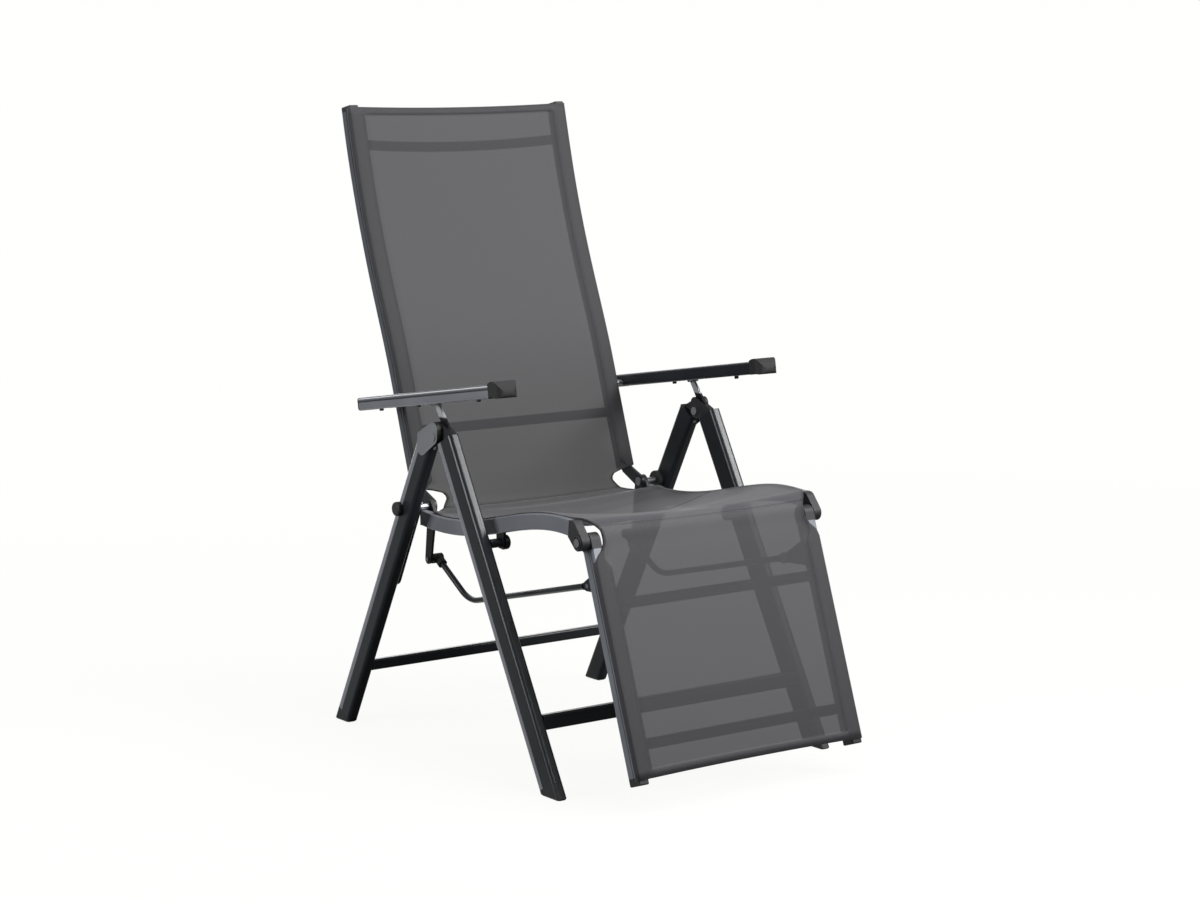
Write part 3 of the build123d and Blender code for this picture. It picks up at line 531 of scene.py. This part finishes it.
def smoothLine(points, step):
    # A natural cubic spline through the points, sampled about a step apart
    pts = np.array(points, float)
    knots = lineRun(pts)
    count = len(pts)
    grid = np.zeros((count, count))
    rhs = np.zeros((count, 2))
    gaps = np.diff(knots)
    grid[0, 0] = grid[-1, -1] = 1
    for i in range(1, count - 1):
        grid[i, i - 1], grid[i, i + 1] = gaps[i - 1], gaps[i]
        grid[i, i] = 2 * (gaps[i - 1] + gaps[i])
        rhs[i] = 6 * ((pts[i + 1] - pts[i]) / gaps[i] - (pts[i] - pts[i - 1]) / gaps[i - 1])
    bends = np.linalg.solve(grid, rhs)
    out = []
    for t in np.linspace(0, knots[-1], int(knots[-1] / step) + 1):
        i = min(int(np.searchsorted(knots, t, side="right")) - 1, count - 2)
        h, a, b = gaps[i], knots[i + 1] - t, t - knots[i]
        out.append(
            (bends[i] * a**3 + bends[i + 1] * b**3) / (6 * h)
            + (pts[i] / h - bends[i] * h / 6) * a
            + (pts[i + 1] / h - bends[i + 1] * h / 6) * b
        )
    return np.array(out)


def raisedLine(rail, step, lift):
    line = smoothLine(railLine(rail), step)
    return line + lineLeft(line) * lift


# The cloth's line from the toe, over the knees and the seat, down into the crease and up the back
lean = math.radians(-90 - footrest["lean"])
footDown = np.array((math.cos(lean), math.sin(lean)))
footFront = np.array((footDown[1], -footDown[0]))
footTop = np.array(footrest["knee"]) + footFront * footrest["front"]
seatTop = raisedLine(seatRail, clothPath["seatStep"], clothPath["seatLift"])
seatFront, seatRear = clothPath["seatSpan"]
seatTop = seatTop[(seatTop[:, 0] > seatFront) & (seatTop[:, 0] < seatRear)]
backFront = raisedLine(backRail, clothPath["backStep"], clothPath["backLift"])
backFront = backFront[backFront[:, 1] > clothPath["backFrom"]]
clothPoints = [
    *(footTop + footDown * along for along in np.arange(*clothPath["footMarks"])),
    footTop + footDown * clothPath["footLast"],
    *clothPath["knee"],
    *seatTop[::4],
    *clothPath["crease"],
    *backFront[:-2:4],
    backFront[-1] + (backFront[-1] - backFront[-2]) * clothPath["headReach"],
]
clothLine = smoothLine(clothPoints, clothPath["clothStep"])
clothOut = lineLeft(clothLine)
clothRun = lineRun(clothLine)


def runAt(point):
    return clothRun[np.argmin(np.linalg.norm(clothLine - np.array(point), axis=1))]


kneeRun = runAt((-383, 462))
creaseRun = runAt((129.5, 424))
middleRun = runAt((-100, 440))
topRun = clothRun[-1]
sling = {
    # Marks along the run, and each measure there: lengths in mm, shares, and the tone's share of the colour,
    # which is painted light
    "halfWidth": [
        (0, 242.9), (runAt((-406, 402)), 242.9), (runAt((-402, 414)), 238), (runAt((-398.5, 425)), 226),
        (runAt((-394, 438)), 218), (runAt((-388, 455)), 219), (runAt((-377, 468)), 228),
        (runAt((-365, 473.5)), 238), (runAt((-351, 475)), 247), (runAt((-331, 475)), 252),
        (runAt((-312, 475)), 253.2), (runAt((78, 428)), 253.2),
        (runAt((84, 426)), 247), (runAt((90, 424)), 229), (runAt((105, 420)), 228), (runAt((119, 418)), 220),
        (runAt((129, 423)), 200), (runAt((136, 437)), 187), (runAt((139.5, 448)), 189),
        (runAt((141, 454)), 207), (runAt((142, 458)), 231), (runAt((143.2, 462)), 242.9), (topRun, 242.9),
    ],
    "sag": [
        (0, 3), (kneeRun - 60, 3), (kneeRun, 5), (runAt((-331, 475)), 12), (runAt((-250, 470)), 27),
        (middleRun, 36), (runAt((20, 426)), 26), (runAt((80, 428)), 12), (creaseRun, 5), (creaseRun + 60, 4),
        (topRun, 4),
    ],
    "wrap": [
        (0, 1), (runAt((-404, 408)), 1), (runAt((-399, 423)), 0.12), (runAt((141, 454)), 0.12),
        (runAt((144.5, 468)), 1), (topRun, 1),
    ],
    "hem": [
        (0, 31), (runAt((-408, 396)), 31), (runAt((-399, 423)), 5), (runAt((-331, 475)), 5),
        (runAt((-312, 475)), 9), (runAt((60, 428)), 9), (runAt((84, 426)), 5), (runAt((141, 454)), 5),
        (runAt((146, 474)), 31), (topRun, 31),
    ],
    # Painted light in the cloth's colour: painted shade towards the toe, a painted highlight on the crest
    # over the knees, and painted shade down into the crease and on the lower back
    "toneAndPaintedLight": [
        (0, 0.72), (kneeRun * 0.4, 0.88), (kneeRun - 30, 0.94), (kneeRun + 15, 1.3), (kneeRun + 110, 1.35),
        (kneeRun + 170, 0.85), (middleRun, 0.74), (creaseRun - 40, 0.66), (creaseRun, 0.36),
        (creaseRun + 90, 0.3), (creaseRun + 160, 0.42), (creaseRun + 350, 0.68), (topRun, 0.74),
    ],
    "thickness": 1.2,
    "rowStep": 6,
    "columns": 15,
    "seatSagReach": 243.5,
    "railSagReach": 222,
    "hemLift": 0.7,
    "hemStep": 0.9,
    "hemShares": (0.35, 0.7),
    # Over the rail's edge: inwards by a share of the wrap and a length, from the hem's lift (1) or the
    # line (0), and down by a share of the wrap and a length
    "overEdge": [
        (2.6, 0.5, 1, 0, 0), (0.9, 0.2, 1, 0.7, 0), (0, 0, 1, 2.6, 0.4),
        (0, 0, 0, 5.5, 0.6), (0, 0.2, 0, 8, 0.7), (1.4, 0, 0, 9.4, 0.8),
    ],
    "endHem": 14,
    "endHemGap": 3,
    "footHollow": 3,
    "headHollow": 4,
    "hollowLength": 90,
}


def atRun(name, run):
    marks = sling[name]
    return float(np.interp(run, [mark[0] for mark in marks], [mark[1] for mark in marks]))


def clothRow(run, hollow):
    # One row of the sheet from the middle to one edge: x, lift off the line, run, and 1 on the hem, else 0
    width, sag, wrap, hem = (atRun(name, run) for name in ("halfWidth", "sag", "wrap", "hem"))
    overSeat = wrap <= 0.5 and kneeRun <= run <= creaseRun
    sagReach = min(width, sling["seatSagReach"] if overSeat else sling["railSagReach"])
    inner = width - hem
    cells = [(inner * share, 0, 0) for share in np.linspace(0, 1, sling["columns"])]
    cells += [(inner + sling["hemStep"], sling["hemLift"], 1)]
    cells += [(inner + hem * share, sling["hemLift"], 1) for share in sling["hemShares"]]
    cells += [
        (width - inShare * wrap - inLength, level * sling["hemLift"] - downShare * wrap - downLength, 1)
        for inShare, inLength, level, downShare, downLength in sling["overEdge"]
    ]
    row = []
    for x, lift, part in cells:
        bow = sag * (1 - (x / sagReach) ** 2) if x < sagReach else 0
        # The free ends are cut in a shallow hollow
        pull = hollow * (1 - (x / width) ** 2)
        row.append((x, lift - bow, run + pull, part))
    return row


def clothPoint(x, lift, run):
    i = min(int(np.searchsorted(clothRun, run, side="right")) - 1, len(clothRun) - 2)
    i = max(i, 0)
    share = (run - clothRun[i]) / (clothRun[i + 1] - clothRun[i])
    line = clothLine[i] * (1 - share) + clothLine[i + 1] * share
    out = clothOut[i] * (1 - share) + clothOut[i + 1] * share
    return sidePoint(line + out * lift, x)


def clothSlot(corners):
    # The sheet's finish, a hem's, or the binding's where the hem is narrow
    if sum(bool(part) for *_, part in corners) < 3:
        return 0
    (_, _, run, part), (*_, nextPart), *_ = corners
    narrow = atRun("hem", run / mm) < weave["bindingWidth"]
    return 2 if narrow and not part == nextPart == 2 else 1


def lineLength(places):
    return sum((a - b).length for a, b in zip(places, places[1:]))


def makeCloth(name, start, end, made, hemAtStart=False, hemAtEnd=False):
    runs = list(np.linspace(start, end, max(2, int(round((end - start) / sling["rowStep"])) + 1)))
    band, step, gap, fade = (sling[key] for key in ("endHem", "hemStep", "endHemGap", "hollowLength"))
    if hemAtStart:
        runs = [start, start + band, start + band + step] + [r for r in runs if r > start + band + gap]
    if hemAtEnd:
        runs = [r for r in runs if r < end - band - gap] + [end - band - step, end - band, end]
    mesh = bmesh.new()
    cloth = mesh.loops.layers.uv.new("cloth")
    # Each vertex carries the cloth's painted light and shade along the run
    toneAndPaintedLight = mesh.verts.layers.float.new("toneAndPaintedLight")
    rows = []
    for run in runs:
        inEnd = (hemAtStart and run <= start + band) or (hemAtEnd and run >= end - band)
        hollow = 0
        if hemAtStart:
            hollow = sling["footHollow"] * max(0, 1 - (run - start) / fade)
        if hemAtEnd:
            hollow = -sling["headHollow"] * max(0, 1 - (end - run) / fade)
        half = clothRow(run, hollow)
        row = []
        for x, lift, at, part in [(-x, *rest) for x, *rest in reversed(half[1:])] + half:
            lifted = lift + (sling["hemLift"] if inEnd and not part else 0)
            vertex = mesh.verts.new(clothPoint(x, lifted, at))
            vertex[toneAndPaintedLight] = atRun("toneAndPaintedLight", at)
            row.append((vertex, x * mm, at * mm, 2 if inEnd else part))
        rows.append(row)
    for low, high in zip(rows, rows[1:]):
        for corners in zip(low, low[1:], high[1:], high):
            face = mesh.faces.new([vertex for vertex, *_ in corners])
            face.smooth = True
            face.material_index = clothSlot(corners)
            for loop, (_, x, at, _) in zip(face.loops, corners):
                loop[cloth].uv = (x, at)
    bmesh.ops.recalc_face_normals(mesh, faces=mesh.faces)
    mesh.faces.ensure_lookup_table()
    middle = mesh.faces[len(mesh.faces) // 2]
    outward = Vector((0, *clothOut[np.searchsorted(clothRun, (start + end) / 2)]))
    if middle.normal.dot(outward) < 0:
        bmesh.ops.reverse_faces(mesh, faces=mesh.faces)
    area = sum(face.calc_area() for face in mesh.faces)
    places = [[vertex.co.copy() for vertex, *_ in row] for row in rows]
    width = max(lineLength(row) for row in places)
    length = max(lineLength(column) for column in zip(*places))
    data = bpy.data.meshes.new(name)
    mesh.to_mesh(data)
    mesh.free()
    piece = bpy.data.objects.new(name, data)
    bpy.context.scene.collection.objects.link(piece)
    for finish in ("slingWeave", "hemWeave", "bindingWeave"):
        data.materials.append(made[finish])
    thick = piece.modifiers.new("thickness", "SOLIDIFY")
    thick.thickness = sling["thickness"] * mm
    thick.offset = 0
    print("cloth", name, round(width, 3), round(length, 3), round(area, 4))
    return piece, width, length, area


def makeSling(made):
    # The sling is one cloth, made in four lengths that meet edge to edge at the knees, mid seat and crease
    foot, footWidth, footLength, footArea = makeCloth("footrestCloth", 0, kneeRun, made, hemAtStart=True)
    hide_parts("footrest_sling")
    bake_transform(foot)
    knee, kneeWidth, kneeLength, kneeArea = makeCloth("kneeCloth", kneeRun, middleRun, made)
    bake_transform(knee)
    seat, seatWidth, seatLength, seatArea = makeCloth("seatCloth", middleRun, creaseRun, made)
    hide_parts("seat_sling")
    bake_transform(seat)
    back, backWidth, backLength, backArea = makeCloth("backCloth", creaseRun, topRun, made, hemAtEnd=True)
    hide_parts("back_sling")
    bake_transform(back)
    print("sling made")


# Small heads that the solids leave out: distances across and side-view points, in mm
fastenings = {
    "legScrews": {
        "body": "rear_legs", "finish": "brightSteel", "radius": 3.4, "height": 1.4,
        "facing": (-0.879, -0.476),
        "places": [(-290, 14.6, 554.6), (290, 14.6, 554.6)],
    },
    "armrestStuds": {
        "body": "armrests", "finish": "blackPlastic", "radius": 4, "height": 18.5,
        "facing": (-0.15, -0.989),
        "places": [
            (-300, 175.5, 606.5), (-300, 49.6, 626.5), (-300, -143.8, 655), (300, 89.1, 619.5),
            (300, -99.8, 646.8),
        ],
    },
}
headShape = {
    "sides": 32,
    "steps": [(0.12, 0.16), (0.2, 0.1), (0.3, 0), (0.08, -0.12)],  # inset and rise, as shares of the radius
    "smoothBelow": 35,
}
kneeRing = {
    "point": (-377, 437.5), "across": 260.2, "radius": 10.6, "thick": 1.5, "segments": 48, "sides": 12,
}


def makeHead(radius, height):
    # A domed head with a shallow dimple, at the top of its shank
    deselect()
    bpy.ops.mesh.primitive_cylinder_add(
        vertices=headShape["sides"], radius=radius * mm, depth=height * mm, location=(0, 0, -height * mm / 2)
    )
    piece = bpy.context.object
    bpy.ops.object.transform_apply(location=True)
    bpy.context.tool_settings.mesh_select_mode = (False, False, True)
    for face in piece.data.polygons:
        face.select = face.normal.z > 0.9
    bpy.ops.object.mode_set(mode="EDIT")
    for inset, rise in headShape["steps"]:
        bpy.ops.mesh.inset(thickness=radius * inset * mm)
        bpy.ops.transform.translate(value=(0, 0, rise * radius * mm))
    bpy.ops.object.mode_set(mode="OBJECT")
    bpy.ops.object.shade_smooth_by_angle(angle=math.radians(headShape["smoothBelow"]))
    return piece


def makeFastenings(made):
    for name, kind in fastenings.items():
        heads = []
        turn = Vector((0, *kind["facing"])).to_track_quat("Z", "X").to_euler()
        for x, y, z in kind["places"]:
            head = makeHead(kind["radius"], kind["height"])
            head.rotation_euler = turn
            head.location = sidePoint((y, z), x)
            heads.append(head)
        deselect()
        for head in heads:
            head.select_set(True)
        bpy.context.view_layer.objects.active = heads[0]
        bpy.ops.object.join()
        bpy.ops.object.transform_apply(location=True, rotation=True)
        heads[0].name = name
        heads[0].data.materials.append(made[kind["finish"]])
        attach(heads[0], kind["body"])

    for side, label in ((-1, "Right"), (1, "Left")):
        deselect()
        bpy.ops.mesh.primitive_torus_add(
            major_radius=kneeRing["radius"] * mm, minor_radius=kneeRing["thick"] * mm,
            major_segments=kneeRing["segments"], minor_segments=kneeRing["sides"],
            location=sidePoint(kneeRing["point"], side * kneeRing["across"]), rotation=(0, math.pi / 2, 0),
        )
        ring = bpy.context.object
        bpy.ops.object.transform_apply(location=True, rotation=True)
        bpy.ops.object.shade_smooth()
        ring.name = "kneeRing" + label
        ring.data.materials.append(made["blackPlastic"])
        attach(ring, "seat")
    print("fastenings made")


makeStudio()
made = dressNodes()
made["slingWeave"] = wovenFinish("slingWeave", weave["sheet"], weave["cover"])
made["hemWeave"] = wovenFinish("hemWeave", weave["hem"], 1)
made["bindingWeave"] = wovenFinish("bindingWeave", weave["binding"], 1)
makeSling(made)
makeFastenings(made)
